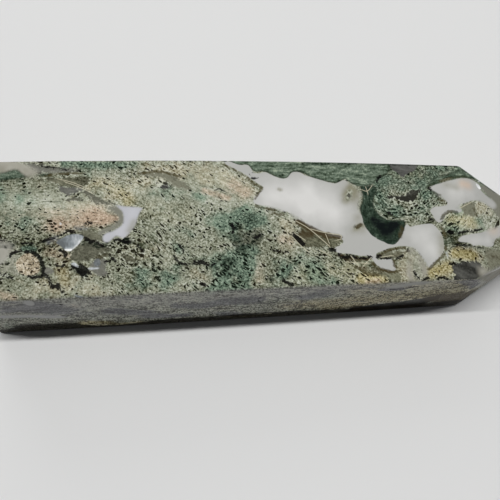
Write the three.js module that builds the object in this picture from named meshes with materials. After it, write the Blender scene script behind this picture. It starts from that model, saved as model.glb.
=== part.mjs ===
// A moss agate obelisk: one polished stone, four long faces that taper to a low four-sided point.
// It lies on a long face. Millimetres, +Z up, +X from the cut base towards the tip.
import * as THREE from "three";
import { ConvexGeometry } from "three/addons/geometries/ConvexGeometry.js";
import { ConvexHull } from "three/addons/math/ConvexHull.js";

// Driving dimensions of the finished stone.
const BODY_LENGTH = 93; // cut base to shoulder
const POINT_LENGTH = 20.8; // shoulder to where the four point faces would meet
const BASE_WIDTH = 27.6;
const BASE_HEIGHT = 25.6;
const SHOULDER_WIDTH = 23;
const SHOULDER_HEIGHT = 20.8;
const TIP_HEIGHT = 10.2; // of the tip above the long face that the stone lies on

// Hand polishing leaves the long faces a little fuller halfway along than at their ends.
const CROWN_FAR = 0.6;
const CROWN_NEAR = 0.15;
const CROWN_TOP = 0.3;
const STATIONS = 6;

const EDGE_RADIUS = 0.7; // polished edges and corners
const EDGE_STEPS = 4;

const ALIKE = 0.08; // two faces closer in direction than this, in radians, share one rounding

const mix = THREE.MathUtils.lerp;

// How much fuller the stone is at a share of its body's length, from 0 to 1.
const crownAt = (share) => 4 * share * (1 - share);

// The four corners of the stone's section at a share of its body's length, drawn in by the edge radius.
function sectionCorners(share) {
  const halfWidth = mix(BASE_WIDTH, SHOULDER_WIDTH, share) / 2 - EDGE_RADIUS;
  const far = halfWidth + CROWN_FAR * crownAt(share);
  const near = -halfWidth - CROWN_NEAR * crownAt(share);
  const top = mix(BASE_HEIGHT, SHOULDER_HEIGHT, share) - EDGE_RADIUS + CROWN_TOP * crownAt(share);
  const bottom = EDGE_RADIUS;
  return [
    [far, top],
    [near, top],
    [near, bottom],
    [far, bottom],
  ];
}

// The base is cut square to the stone's own axis, which falls towards the tip as the stone lies.
const AXIS_FALL = (BASE_HEIGHT - SHOULDER_HEIGHT) / 2 / BODY_LENGTH;
const baseLean = (z) => (z - BASE_HEIGHT / 2) * AXIS_FALL;

// The sharp stone inside the finished one: the finished surface stands off it by the edge radius.
function sharpCorners() {
  const corners = [];
  for (let station = 0; station <= STATIONS; station += 1) {
    const share = station / STATIONS;
    for (const [y, z] of sectionCorners(share)) {
      const x = station === 0 ? EDGE_RADIUS + baseLean(z) : share * BODY_LENGTH;
      corners.push(new THREE.Vector3(x, y, z));
    }
  }
  const pointSlope = Math.atan2(SHOULDER_WIDTH / 2, POINT_LENGTH);
  const tipX = BODY_LENGTH + POINT_LENGTH - EDGE_RADIUS / Math.sin(pointSlope);
  corners.push(new THREE.Vector3(tipX, 0, TIP_HEIGHT));
  return corners;
}

// For each corner, the directions that the faces around it look in, each direction once.
function facesAround(corners) {
  const hull = new ConvexHull().setFromPoints(corners);
  const around = new Map(corners.map((corner) => [corner, []]));
  for (const face of hull.faces) {
    let edge = face.edge;
    do {
      const normals = around.get(edge.head().point);
      if (!normals.some((known) => known.distanceTo(face.normal) < ALIKE)) normals.push(face.normal);
      edge = edge.next;
    } while (edge !== face.edge);
  }
  return around;
}

// Every way to share a number of steps among some normals, as lists of whole weights.
function weightings(count, steps) {
  if (count === 1) return [[steps]];
  const lists = [];
  for (let first = 0; first <= steps; first += 1) {
    for (const rest of weightings(count - 1, steps - first)) lists.push([first, ...rest]);
  }
  return lists;
}

// Points of the ball of the edge radius on each corner, where the ball shows between its faces.
function roundedPoints(corners) {
  const points = [];
  for (const [corner, normals] of facesAround(corners)) {
    for (const weights of weightings(normals.length, EDGE_STEPS)) {
      const direction = new THREE.Vector3();
      weights.forEach((weight, i) => direction.addScaledVector(normals[i], weight));
      points.push(direction.setLength(EDGE_RADIUS).add(corner));
    }
  }
  return points;
}

// Puts the origin under the middle of the stone's length, on the face that it lies on.
function centred(geometry) {
  geometry.computeBoundingBox();
  const { min, max } = geometry.boundingBox;
  return geometry.translate(-(min.x + max.x) / 2, -(min.y + max.y) / 2, -min.z);
}

function makeObelisk() {
  const geometry = centred(new ConvexGeometry(roundedPoints(sharpCorners())));
  const polishedAgate = new THREE.MeshStandardMaterial({
    color: 0x9aa288,
    roughness: 0.15,
    metalness: 0,
  });
  const mesh = new THREE.Mesh(geometry, polishedAgate);
  mesh.name = "obelisk";
  return mesh;
}

const stone = new THREE.Group();
stone.add(makeObelisk());

export default stone;
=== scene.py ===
"""A moss agate obelisk, lying on a long face as in the photograph. Lengths are in millimetres."""
import math

import bpy
import numpy as np
from mathutils import Matrix, Vector, noise


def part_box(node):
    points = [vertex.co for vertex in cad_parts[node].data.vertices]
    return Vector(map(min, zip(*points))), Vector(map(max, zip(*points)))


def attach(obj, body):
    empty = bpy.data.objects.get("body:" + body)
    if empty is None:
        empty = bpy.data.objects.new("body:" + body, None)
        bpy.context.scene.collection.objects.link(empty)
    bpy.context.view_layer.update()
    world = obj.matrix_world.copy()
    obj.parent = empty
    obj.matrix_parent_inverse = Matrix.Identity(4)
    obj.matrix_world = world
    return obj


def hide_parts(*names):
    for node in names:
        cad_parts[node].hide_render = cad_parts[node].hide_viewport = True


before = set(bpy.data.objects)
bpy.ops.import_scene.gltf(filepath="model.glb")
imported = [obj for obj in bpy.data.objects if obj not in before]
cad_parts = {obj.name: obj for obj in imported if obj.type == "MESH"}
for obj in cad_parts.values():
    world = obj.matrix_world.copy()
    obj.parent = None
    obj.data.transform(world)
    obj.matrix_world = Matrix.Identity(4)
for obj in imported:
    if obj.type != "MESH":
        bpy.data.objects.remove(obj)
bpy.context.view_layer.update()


# The stone itself: one piece of moss agate, sawn to four long faces that taper towards a four-sided
# point, then ground and polished by hand, which rounds the edges and leaves the faces a little full.
MM = 0.001
low, high = (np.array(corner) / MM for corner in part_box("obelisk"))
BASE_WIDTH = high[1] - low[1]
BASE_HEIGHT = high[2] - low[2]
SHOULDER_WIDTH = 23.0
SHOULDER_HEIGHT = 20.8
BODY_LENGTH = 93.0
POINT_LENGTH = 20.8
TIP_HEIGHT = 10.2
CROWN_FAR = 0.6
CROWN_NEAR = 0.15
CROWN_TOP = 0.3
EDGE_RADIUS = 0.7
SHOULDER_RADIUS = 0.3
NEAR_POINT_LATER = 1.2  # the near face of the point starts this much further along than the others

AXIS_FALL = (BASE_HEIGHT - SHOULDER_HEIGHT) / 2 / BODY_LENGTH
BASE_X = low[0] + (BASE_HEIGHT / 2 - EDGE_RADIUS) * AXIS_FALL
SHOULDER_X = BASE_X + BODY_LENGTH
TIP_X = SHOULDER_X + POINT_LENGTH


def fullness(x):
    """How much of its crown a face has: none at the cut base and the shoulder, all of it halfway."""
    share = np.clip((x - BASE_X) / BODY_LENGTH, 0, 1)
    return 4 * share * (1 - share)


def top_height(x):
    return BASE_HEIGHT + (SHOULDER_HEIGHT - BASE_HEIGHT) * (x - BASE_X) / BODY_LENGTH


def half_width(x):
    return (BASE_WIDTH + (SHOULDER_WIDTH - BASE_WIDTH) * (x - BASE_X) / BODY_LENGTH) / 2


def rounded_max(a, b, radius):
    """Depth below two faces at once, where the edge between them is rounded."""
    past_both = np.hypot(np.maximum(a + radius, 0), np.maximum(b + radius, 0))
    return past_both + np.minimum(np.maximum(a, b) + radius, 0) - radius


def outside(p):
    """How far a place is outside the polished stone; negative inside it."""
    x, y, z = p[..., 0], p[..., 1], p[..., 2]
    top = z - top_height(x) - CROWN_TOP * fullness(x)
    far = y - half_width(x) - CROWN_FAR * fullness(x)
    near = -y - half_width(x) - CROWN_NEAR * fullness(x)
    body = rounded_max(np.maximum(top, -z), np.maximum(far, near), EDGE_RADIUS)
    base = BASE_X + (z - BASE_HEIGHT / 2) * AXIS_FALL - x
    body = rounded_max(body, base, EDGE_RADIUS)

    def point_face(across, reach, later=0.0):
        """A face of the point, which falls from the shoulder to the tip over a given reach."""
        run = POINT_LENGTH - later
        return ((x - SHOULDER_X - later) * reach + across * run) / math.hypot(reach, run)

    point_top = point_face(z - SHOULDER_HEIGHT, SHOULDER_HEIGHT - TIP_HEIGHT)
    point_under = point_face(-z, TIP_HEIGHT)
    point_far = point_face(y - SHOULDER_WIDTH / 2, SHOULDER_WIDTH / 2)
    point_near = point_face(-y - SHOULDER_WIDTH / 2, SHOULDER_WIDTH / 2, NEAR_POINT_LATER)
    point = rounded_max(np.maximum(point_top, point_under), np.maximum(point_far, point_near), EDGE_RADIUS)
    point = rounded_max(point, x - high[0], EDGE_RADIUS)
    return rounded_max(body, point, SHOULDER_RADIUS)


# The skin of the stone is a net: rings of points around it, from the middle of the base to the tip.
# Rings and points are closer together where the edges are rounded, and finest on the top face.
ROUNDED_STEPS = np.array([0, 0.2, 0.45, 0.8, 1.2])
TOP_POINTS = 102
FAR_POINTS = 44
BOTTOM_POINTS = 34
NEAR_POINTS = 50
RING_SPACING = 0.345
BASE_RING_SPACING = 0.06  # as a share of the half width
POINTS_PAST_END = 12.0  # the rays that find the base and the tip fan out from this far inside them


def across_face(count):
    """Shares from -1 to 1 across a face, without the last one, which starts the next face."""
    rim = 1 - ROUNDED_STEPS / (BASE_WIDTH / 2)
    flat = np.linspace(-rim[-1], rim[-1], count)[1:-1]
    return np.concatenate([-rim, flat, rim[::-1]])[:-1]


def stations(start, end, spacing):
    return np.linspace(start, end, max(2, round(abs(end - start) / spacing)) + 1)[:-1]


rim_in = ROUNDED_STEPS[::-1]
base_shares = np.concatenate([
    stations(0, 1 - rim_in[0] / (BASE_WIDTH / 2), BASE_RING_SPACING)[1:],
    1 - rim_in / (BASE_WIDTH / 2),
])
body_x = np.concatenate([
    BASE_X + ROUNDED_STEPS[1:-1],
    stations(BASE_X + ROUNDED_STEPS[-1], SHOULDER_X - 0.6, RING_SPACING),
    stations(SHOULDER_X - 0.6, SHOULDER_X + 0.6, 0.15),
    stations(SHOULDER_X + 0.6, TIP_X - 1.5, RING_SPACING),
    stations(TIP_X - 1.5, TIP_X - 0.1, 0.14),
])
counts = (TOP_POINTS, FAR_POINTS, BOTTOM_POINTS, NEAR_POINTS)
top, far, bottom, near = (across_face(count) for count in counts)
sides = [(top, 1 + 0 * top), (1 + 0 * far, -far), (-bottom, -1 + 0 * bottom), (-1 + 0 * near, near)]
shares = np.concatenate([np.stack(side, 1) for side in sides])  # of the half width and half height
ring_size = len(shares)


def section(x):
    """Middle height, half height and half width of the sharp stone at a place along it."""
    in_point = np.clip((x - SHOULDER_X) / POINT_LENGTH, 0, 1)
    point_top = SHOULDER_HEIGHT + (TIP_HEIGHT - SHOULDER_HEIGHT) * in_point
    top = np.where(x < SHOULDER_X, top_height(x), point_top)
    bottom = TIP_HEIGHT * in_point
    half = np.where(x < SHOULDER_X, half_width(x), SHOULDER_WIDTH / 2 * (1 - in_point))
    return (top + bottom) / 2, (top - bottom) / 2, half


ring_x = np.concatenate([np.full(len(base_shares), BASE_X), body_x])
ring_share = np.concatenate([base_shares, np.ones(len(body_x))])
middle, half_height, half = section(ring_x)
aims = np.stack([
    np.repeat(ring_x[:, None], ring_size, 1),
    ring_share[:, None] * half[:, None] * shares[:, 0],
    middle[:, None] + ring_share[:, None] * half_height[:, None] * shares[:, 1],
], -1)
ray_x = np.clip(ring_x, BASE_X + POINTS_PAST_END, TIP_X - 4.0)
ray_z = section(ray_x)[0]
starts = np.stack([ray_x, 0 * ray_x, ray_z], -1)[:, None, :] + 0 * aims


def to_surface(start, aim):
    """Where the line from inside the stone towards an aim comes out of it, by halving."""
    inner, outer = np.zeros(aim.shape[:-1]), np.full(aim.shape[:-1], 1.3)
    for _ in range(26):
        mid = (inner + outer) / 2
        is_out = outside(start + (aim - start) * mid[..., None]) > 0
        outer, inner = np.where(is_out, mid, outer), np.where(is_out, inner, mid)
    return start + (aim - start) * inner[..., None]


rings = to_surface(starts, aims)
end_aims = np.array([[BASE_X, 0, middle[0]], [TIP_X, 0, TIP_HEIGHT]])
ends = to_surface(np.array([starts[0, 0], starts[-1, 0]]), end_aims)
skin = np.concatenate([rings.reshape(-1, 3), ends])
ring_count = len(rings)

# Hand polishing leaves each face very slightly wavy.
WAVE_HEIGHT = 0.035
WAVE_LENGTH = 11.0
slope = np.stack([outside(skin + step) - outside(skin - step) for step in 0.01 * np.eye(3)], -1)
facing = slope / np.linalg.norm(slope, axis=1, keepdims=True)
wave = np.array([noise.noise(Vector(place) / WAVE_LENGTH) for place in skin])
skin = skin - facing * (WAVE_HEIGHT * np.clip(wave + 0.5, 0, 1))[:, None]

turns = [(i, (i + 1) % ring_size) for i in range(ring_size)]
last = (ring_count - 1) * ring_size
faces = [
    (ring + i, ring + j, ring + ring_size + j, ring + ring_size + i)
    for ring in range(0, last, ring_size) for i, j in turns
]
base_end, tip_end = len(skin) - 2, len(skin) - 1
for i, j in turns:
    faces += [(base_end, j, i), (tip_end, last + i, last + j)]

mesh = bpy.data.meshes.new("agate_obelisk")
mesh.from_pydata((skin * MM).tolist(), [], faces)
mesh.validate()
mesh.update()
mesh.shade_smooth()
stone = bpy.data.objects.new("agate_obelisk", mesh)
bpy.context.scene.collection.objects.link(stone)

# What grew inside the stone is drawn on its unrolled skin: x runs along the stone, and the second
# number runs around it, from 0 along the middle of the top face up to the far edge and over it.
laps = np.linalg.norm(np.roll(rings, -1, 1) - rings, axis=2)
around_rings = np.cumsum(laps, 1) - laps
lap_length = laps.sum(1, keepdims=True)
middles = [np.interp(0, top, row[:len(top)]) for row in around_rings]
around_rings -= np.array(middles)[:, None]
around_rings = np.where(around_rings > lap_length / 2, around_rings - lap_length, around_rings)
along_rings = rings[..., 0].copy()
on_base = slice(0, len(base_shares))
along_rings[on_base] = BASE_X - (BASE_HEIGHT - rings[on_base, :, 2])
around_rings[on_base] = rings[on_base, :, 1]
places = np.stack([
    np.append(along_rings.ravel(), (BASE_X - BASE_HEIGHT / 2, TIP_X)),
    np.append(around_rings.ravel(), (0, 0)),
], 1)
REACH = 7.0  # a line has no effect further off than this


def smooth(points, closed):
    """A smooth line through given places."""
    p = np.array(points, float)
    if not closed:
        p = np.vstack([2 * p[0] - p[1], p, 2 * p[-1] - p[-2]])
    line = []
    for i in range(0 if closed else 1, len(p) if closed else len(p) - 2):
        before, a, b, after = (p[k % len(p)] for k in (i - 1, i, i + 1, i + 2))
        bend, swing = 2 * before - 5 * a + 4 * b - after, 3 * (a - b) + after - before
        line += [a + t / 2 * (b - before + t * (bend + t * swing)) for t in (0, 0.25, 0.5, 0.75)]
    return np.array(line if closed else line + [p[-2]])


def draw(line, closed):
    """Distance of every point of the skin from a line, the side it is on, and if a loop holds it."""
    starts, stops = (line, np.roll(line, -1, 0)) if closed else (line[:-1], line[1:])
    centre, half_span = (line.max(0) + line.min(0)) / 2, (line.max(0) - line.min(0)) / 2
    close = np.flatnonzero((np.abs(places - centre) < half_span + REACH).all(1))
    here = places[close]
    nearest, side = np.full(len(here), REACH), np.ones(len(here))
    within = np.zeros(len(here), bool)
    for a, b in zip(starts, stops):
        step, off = b - a, here - a
        share = np.clip(off @ step / max(step @ step, 1e-9), 0, 1)
        gap = np.hypot(*(off - share[:, None] * step).T)
        side = np.where(gap < nearest, np.sign(step[0] * off[:, 1] - step[1] * off[:, 0]), side)
        nearest = np.minimum(nearest, gap)
        rise = step[1] if step[1] else 1e-9
        crossing = (a[1] > here[:, 1]) != (b[1] > here[:, 1])
        within ^= crossing & (here[:, 0] < a[0] + (here[:, 1] - a[1]) / rise * step[0])
    distance, sides = np.full(len(places), REACH), np.ones(len(places))
    inside = np.zeros(len(places), bool)
    distance[close], sides[close], inside[close] = nearest, side, within
    return distance, sides, inside


def unrolled(rows, near_rows=()):
    """The paths in some rows, each with the numbers that its row starts with.

    A path is written x, y, x, y; in the near rows, x and how far up the near long face it is.
    """
    found = []
    for row, is_near in [(row, False) for row in rows] + [(row, True) for row in near_rows]:
        numbers = [value for value in row if not isinstance(value, list)]
        for path in row[len(numbers):]:
            points = np.array(path, float).reshape(-1, 2)
            points[:, 1] -= is_near * (half_width(points[:, 0]) + top_height(points[:, 0]))
            found.append((numbers, points))
    return found


def stain(rows, near_rows=()):
    """Strength of a soft colouring. Each row has an amount, a radius and the paths it follows."""
    strength = np.zeros(len(places))
    for (amount, radius), path in unrolled(rows, near_rows):
        line = smooth(path, False) if len(path) > 1 else path[[0, 0]]
        strength += amount * np.exp(-(draw(line, False)[0] / radius) ** 2)
    return strength


agate = bpy.data.materials.new("polished_moss_agate")
agate.use_nodes = True
mesh.materials.append(agate)


class Wire:
    """A value on its way through the agate's shader. Arithmetic on it adds Math nodes."""

    def __init__(self, socket):
        self.socket = socket

    @staticmethod
    def node(kind, settings, sockets, out=0):
        """Adds any other node: its settings first, then the values or wires of its sockets."""
        made = agate.node_tree.nodes.new(kind)
        for name, value in settings.items():
            if name == "stops":
                while len(made.color_ramp.elements) < len(value):
                    made.color_ramp.elements.new(1)
                for element, (position, colour) in zip(made.color_ramp.elements, value):
                    element.position, element.color = position, colour
            else:
                setattr(made, name, value)
        for name, value in sockets.items():
            if isinstance(value, Wire):
                agate.node_tree.links.new(value.socket, made.inputs[name])
            else:
                made.inputs[name].default_value = value
        return Wire(made.outputs[out])

    def math(self, operation, first, second):
        return Wire.node("ShaderNodeMath", {"operation": operation}, {0: first, 1: second})

    def __add__(self, other):
        return self.math("ADD", self, other)

    __radd__ = __add__

    def __mul__(self, other):
        return self.math("MULTIPLY", self, other)

    __rmul__ = __mul__

    def __sub__(self, other):
        return self.math("SUBTRACT", self, other)

    def __rsub__(self, other):
        return self.math("SUBTRACT", other, self)

    def __abs__(self):
        return self.math("ABSOLUTE", self, 0.0)


def between(value, start, end):
    """Rises smoothly from 0 to 1 as the value goes from start to end."""
    return Wire.node(
        "ShaderNodeMapRange", {"interpolation_type": "SMOOTHSTEP"},
        {"Value": value, "From Min": start, "From Max": end},
    )


def lay(under, over, cover):
    """One colour laid over another, as thickly as cover says."""
    return Wire.node("ShaderNodeMix", {"data_type": "RGBA"}, {0: cover, 6: under, 7: over}, 2)


def stretched(vector, factors):
    return Wire.node("ShaderNodeVectorMath", {"operation": "MULTIPLY"}, {0: vector, 1: factors})


def cloud(where, size, detail=2.0, roughness=0.5, out="Fac"):
    """Soft noise whose lumps have a given size."""
    sockets = {"Vector": where, "Scale": 1 / size, "Detail": detail, "Roughness": roughness}
    return Wire.node("ShaderNodeTexNoise", {}, sockets, out)


def curled(where, size, amount):
    """Places pushed about by up to an amount, so that what is drawn on them curls."""
    push = cloud(where, size, 1.0, out="Color")
    sockets = {0: push, 1: (amount, amount, amount), 2: where}
    return Wire.node("ShaderNodeVectorMath", {"operation": "MULTIPLY_ADD"}, sockets)


def field(name, values):
    """Keeps a value, or a place, at every point of the skin, and hands it to the shader."""
    kind, part, out = "FLOAT", "value", "Fac"
    if values.ndim == 2:
        kind, part, out = "FLOAT_VECTOR", "vector", "Vector"
    layer = mesh.attributes.new(name, kind, "POINT")
    layer.data.foreach_set(part, np.ascontiguousarray(values.ravel(), dtype=np.float32))
    return Wire.node("ShaderNodeAttribute", {"attribute_name": name}, {}, out)


def patches(name, qualities, rows, near_rows=()):
    """Patches of one kind: distance from the nearest one's edge, and the qualities of that one."""
    found, edges = unrolled(rows, near_rows), []
    for _, outline in found:
        distance, _, inside = draw(smooth(outline, True), True)
        edges.append(np.where(inside, -distance, distance))
    nearest = np.argmin(edges, 0)
    wires = [field(name, np.min(edges, 0))]
    for i, quality in enumerate(qualities):
        values = np.array([numbers[i] for numbers, _ in found])
        wires.append(field(f"{name}_{quality}", values[nearest]))
    return wires


def covered(distance, softness):
    """How fully a patch covers a place, given the distance from its edge and that edge's softness."""
    return between(distance, softness, softness * -1)


def veins(name, rows, near_rows=()):
    """Thin veins, in rows of a half thickness and the lines: how far off the nearest vein is."""
    lines = unrolled(rows, near_rows)
    return field(name, np.min([draw(smooth(line, False), False)[0] - half for (half,), line in lines], 0))


LIGHT_GAIN = 1.12  # how much brighter a finish is made than it looks in the photograph
HAZE = 0.01  # light that the polish adds, and so is left out of the finish under it


def tone(red, green, blue):
    """A colour as it looks in the photograph, from 0 to 255, as the colour of a finish."""
    shares = (c / 255 for c in (red, green, blue))
    lights = (s / 12.92 if s < 0.04045 else ((s + 0.055) / 1.055) ** 2.4 for s in shares)
    return tuple(max(LIGHT_GAIN * light - HAZE, 0.002) for light in lights) + (1,)


def ramp(value, *colours):
    """A colour that runs evenly through some tones as a value rises from 0 to 1."""
    stops = [(i / (len(colours) - 1), tone(*colour)) for i, colour in enumerate(colours)]
    return Wire.node("ShaderNodeValToRGB", {"stops": stops}, {"Fac": value}, "Color")


# Places inside the stone in millimetres, and the same places leaning with the grain of the moss. It
# runs level near the base, falls towards the near side further along, and circles near the shoulder.
GRAIN_FALL = 0.28
GRAIN_TURN_X = -33.0
GRAIN_TURN_LENGTH = 6.0
CIRCLE_X, CIRCLE_Y = 26.5, 9.5
CIRCLE_RADIUS = 8.0
CIRCLE_START = 22.7
UPRIGHT = 0.5  # the moss is drawn out upwards, so heights count for less
place = stretched(Wire.node("ShaderNodeTexCoord", {}, {}, "Object"), (1 / MM, 1 / MM, UPRIGHT / MM))
past_turn = (skin[:, 0] - GRAIN_TURN_X) / GRAIN_TURN_LENGTH
leaning = skin[:, 1] + GRAIN_FALL * (skin[:, 0] + GRAIN_TURN_LENGTH * np.log(np.cosh(past_turn)))
radius = np.hypot(skin[:, 0] - CIRCLE_X, skin[:, 1] - CIRCLE_Y)
turn = np.arctan2(CIRCLE_X - skin[:, 0], CIRCLE_Y - skin[:, 1])
circling = np.clip((skin[:, 0] - 14) / 5, 0, 1) * np.clip((skin[:, 1] + 5.5) / 2, 0, 1)
circling *= np.clip((CIRCLE_Y + 1 - skin[:, 1]) / 4, 0, 1)
along = skin[:, 0] + circling * (CIRCLE_START - CIRCLE_RADIUS * turn - skin[:, 0])
across = leaning + circling * (radius - leaning)
steep = stain([(0.5, 4, [-23, -2, -17, -4])])
across = across + steep * (skin[:, 0] + 20)
grain = field("grain", np.stack([along, across, skin[:, 2] * UPRIGHT], 1))

# The moss: fine tufts of green and cream minerals, with darker gaps between them. Its colour runs from
# cream through sage to deep green, with peach and ochre stains, and its gaps are wider in some places.
green = field("green", stain([
    (0.4, 2, [-52, 8, -41, 6]), (0.25, 2, [-52, 5, -46, 5]), (0.3, 1.8, [-49, 2, -44, 1]),
    (0.9, 1.2, [-39, 13, -26.5, 12.5]), (0.9, 0.7, [-46.8, -3.8, -44.6, -4]),
    (-0.3, 1.8, [-42, -3, -39, -6]), (0.2, 2.5, [-29, -10, -26, -11]), (0.6, 2.5, [-24, -10, -20, -11]),
    (0.5, 1.8, [-22, 7, -14, 6], [6, -11, 10, -11]), (0.8, 1.2, [-18, -4.5]), (0.4, 1.6, [-18.5, -9]),
    (0.1, 2, [-14, -1, -11, 1]), (0.3, 1.6, [-22, -1.5, -17.5, -2]), (0.2, 1.8, [-12, -1, -8, -3]),
    (1.3, 2, [-6, 2, -4, 1]), (0.9, 1.8, [-10, 1, -8, -1]), (1.1, 2.5, [-9, -8, -6, -7]),
    (0.7, 2, [-12, -12, -7, -12]), (0.8, 1.8, [-5, -5, -5, -10]), (0.6, 2, [2, -8, 8, -9]),
    (0.6, 1.6, [0.5, -10]), (0.4, 1.8, [-2, 1], [34, -1, 33, -4]), (0.7, 3.5, [22, 9, 30, 9]),
    (0.5, 3, [21, 5, 22, 2, 28, 2]), (0.6, 1.8, [33, 11, 38, 10, 43, 7]), (0.5, 2, [34, 0, 40, 0]),
    (0.2, 1.6, [12, -8, 15, -10]), (-0.5, 2.5, [-44, -12, -36, -11, -33, -12]),
    (-0.4, 1.6, [-39.5, -8.5], [-18, -12], [39.5, -8]),
    (-0.6, 2.5, [-42, 4, -33, 4], [-24, 11, -16, 11, -9, 10, -5, 7]), (-0.3, 1.6, [-45, 8.5, -41, 7.5]),
    (-0.4, 2.5, [-32, 9, -26, 8]), (-0.7, 1.6, [2.5, -0.5, 2.5, -4], [29.5, -9.5, 32, -9.5]),
    (-0.7, 1.4, [-3, -8, -3.5, -11]), (-0.6, 1.2, [-15, -9, -13.5, -10.5]), (-0.8, 2, [24, -7, 24, -10]),
    (-0.8, 1.4, [34, -6.5, 38, -6.5]), (0.3, 2, [30, 5, 34, 3]), (0.4, 1.2, [-16, -7, -12, -8]),
    (-0.8, 1.8, [40, 3, 42, 2]), (-0.3, 3, [-28, -4, -22, -4]), (0.6, 5, [-10, 18, 8, 20]),
    (-0.5, 5, [-40, 20, -28, 26]), (0.8, 4, [14, 32, 24, 30]), (0.5, 6, [-30, -46, -10, -48]),
    (-0.5, 6, [10, -48, 24, -47]),
], [
    (0.4, 3, [-54, 10, -52, 5]), (0.3, 3, [-14, 21, 4, 21]), (0.3, 4, [0, 12, 12, 14]),
    (-0.4, 4, [16, 13, 26, 13]), (-0.4, 3, [-49, 22, -46, 17]), (-0.6, 3, [28, 14, 38, 12]),
]))
peach = field("peach", stain([
    (0.7, 2, [-33.4, 1.8]), (0.6, 1.2, [-31.4, 1.4, -29.6, 1.6]), (0.5, 2, [-36.5, 1.3, -40.5, 0.2]),
    (0.25, 1.6, [-41, 1.2, -44, 0]), (0.4, 1.6, [-42, -4.8, -38.6, -5.6]),
    (0.5, 1.6, [-46, -6.4, -45.4, -7.6]), (0.4, 1.2, [-50.5, -12.4, -48, -13.2]),
    (0.5, 1.8, [-7.5, 8, -5, 6.2]), (0.5, 0.8, [-13, 6.9, -8.6, 5.3], [17, -11.9, 19, -11.6]),
    (0.4, 1.4, [1.2, -3, 2.8, -3.4]), (0.25, 1.4, [-50, 2.4, -42, 3.4, -31, 4]),
    (0.2, 1.6, [-31, 7, -28, 6.4]), (0.3, 1.4, [-3, -8.6, -3.4, -10.4]),
], [
    (0.6, 0.7, [-38.4, 20, -37.8, 18]), (0.2, 2, [-49, 24, -47, 22]), (0.4, 2, [29, 7, 36, 8]),
]))
ochre = field("ochre", stain([
    (0.3, 1.6, [-39.5, -8.5, -39, -10]), (0.2, 3.5, [-26, 4, -17, 2]), (0.15, 3, [-24, 10, -10, 9]),
    (1, 1.2, [16.5, -11.5, 19.5, -11.5]), (0.8, 1, [34, -6.5, 37.5, -7]), (0.6, 1.2, [29, -10, 32.5, -9]),
    (0.25, 2, [-34, 9, -31, 8], [22, 10, 30, 9]), (0.3, 1.4, [-28.5, 7, -27.5, 5]),
    (0.3, 3, [5, -10, 16, -9]), (0.5, 2, [34, 0, 38, 0]), (0.7, 3, [30, 24, 34, 20]),
], [
    (0.9, 2, [-38, 5, -35, 4]), (0.4, 2, [11, 5, 17, 6]), (0.5, 1.2, [-32, 2.5, -27.5, 3]),
    (0.5, 0.7, [-11, 3.2, -5.4, 2.4, -1, 3.4]), (0.7, 4.5, [4, 9, 37, 10]), (0.6, 3.5, [16, 18, 36, 18]),
]))
gaps = field("gaps", stain([
    (0.9, 1.8, [-30, -4, -26, -4]), (0.5, 1.4, [-25.5, 1, -26, -1]), (0.4, 3, [-25, -1, -21, -4]),
    (0.4, 2.5, [-25, -8, -23, -9], [-10, -8, -6, -6]), (0.5, 2, [-10, -1, -7, 0], [2, -8, 9, -9]),
    (0.3, 2.5, [-12, -12, -6, -11]), (0.5, 1.6, [33.5, -1.5, 33.5, -3]), (0.25, 1.8, [-44, -1, -41, -1]),
    (0.5, 1.8, [-50, 1, -45, -1]), (-0.5, 1.6, [-34, 4, -31.5, 3]), (-0.6, 2, [-39, 4, -35, 5]),
    (-0.5, 2, [-24, 7, -20, 12], [39, 3, 42, 2]), (-0.5, 2.5, [-12, 10, -6, 6]),
    (-0.4, 3, [-31, 10, -27, 7]), (-0.3, 1.4, [35, -6.5, 38, -7]), (-0.3, 2, [24, -8, 28, -9]),
    (-0.25, 1.6, [23, 3, 30, 1]),
], [
    (-1.2, 12, [-54, 8, 36, 8]),
]))
calm = field("calm", np.minimum(1, stain([
    (1.1, 3, [-53, 6, -42, 6]), (0.9, 1.8, [-52, 4, -36, 4]), (0.3, 2, [-37, 2, -31, 2]),
    (0.8, 2.5, [-13, 10, -6, 6]), (0.7, 2, [-15, 8, -9, 5]), (0.6, 2, [-43, -12, -33, -12]),
    (0.5, 1.8, [-52, -12, -47, -12]), (0.6, 2.5, [38, -11, 44, -9]), (0.7, 1.8, [28, -9, 24, -8]),
    (0.5, 2, [37, -1, 40, 0], [-24, 6, -12, 5], [34, -6, 38, -7]), (0.4, 2, [2, -1, 2, -3]),
], [
    (1, 5, [42, 16, 52, 14], [-56, 13, -44, 10]), (0.7, 3.5, [26, 12, 38, 12]), (0.5, 3, [-12, 15, -4, 15]),
])))
curls = field("curls", np.minimum(1, stain([
    (1.2, 3.5, [23, 9, 30, 9]), (1.2, 3, [21, 5, 22, 2, 29, 2]), (0.9, 1.8, [32, 4, 34, 3]),
    (0.8, 1.8, [33, 1, 34, -4]), (0.7, 1.6, [-26, -7, -24.5, -10]), (0.6, 1.6, [-28, -4, -24, -4]),
])))
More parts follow.
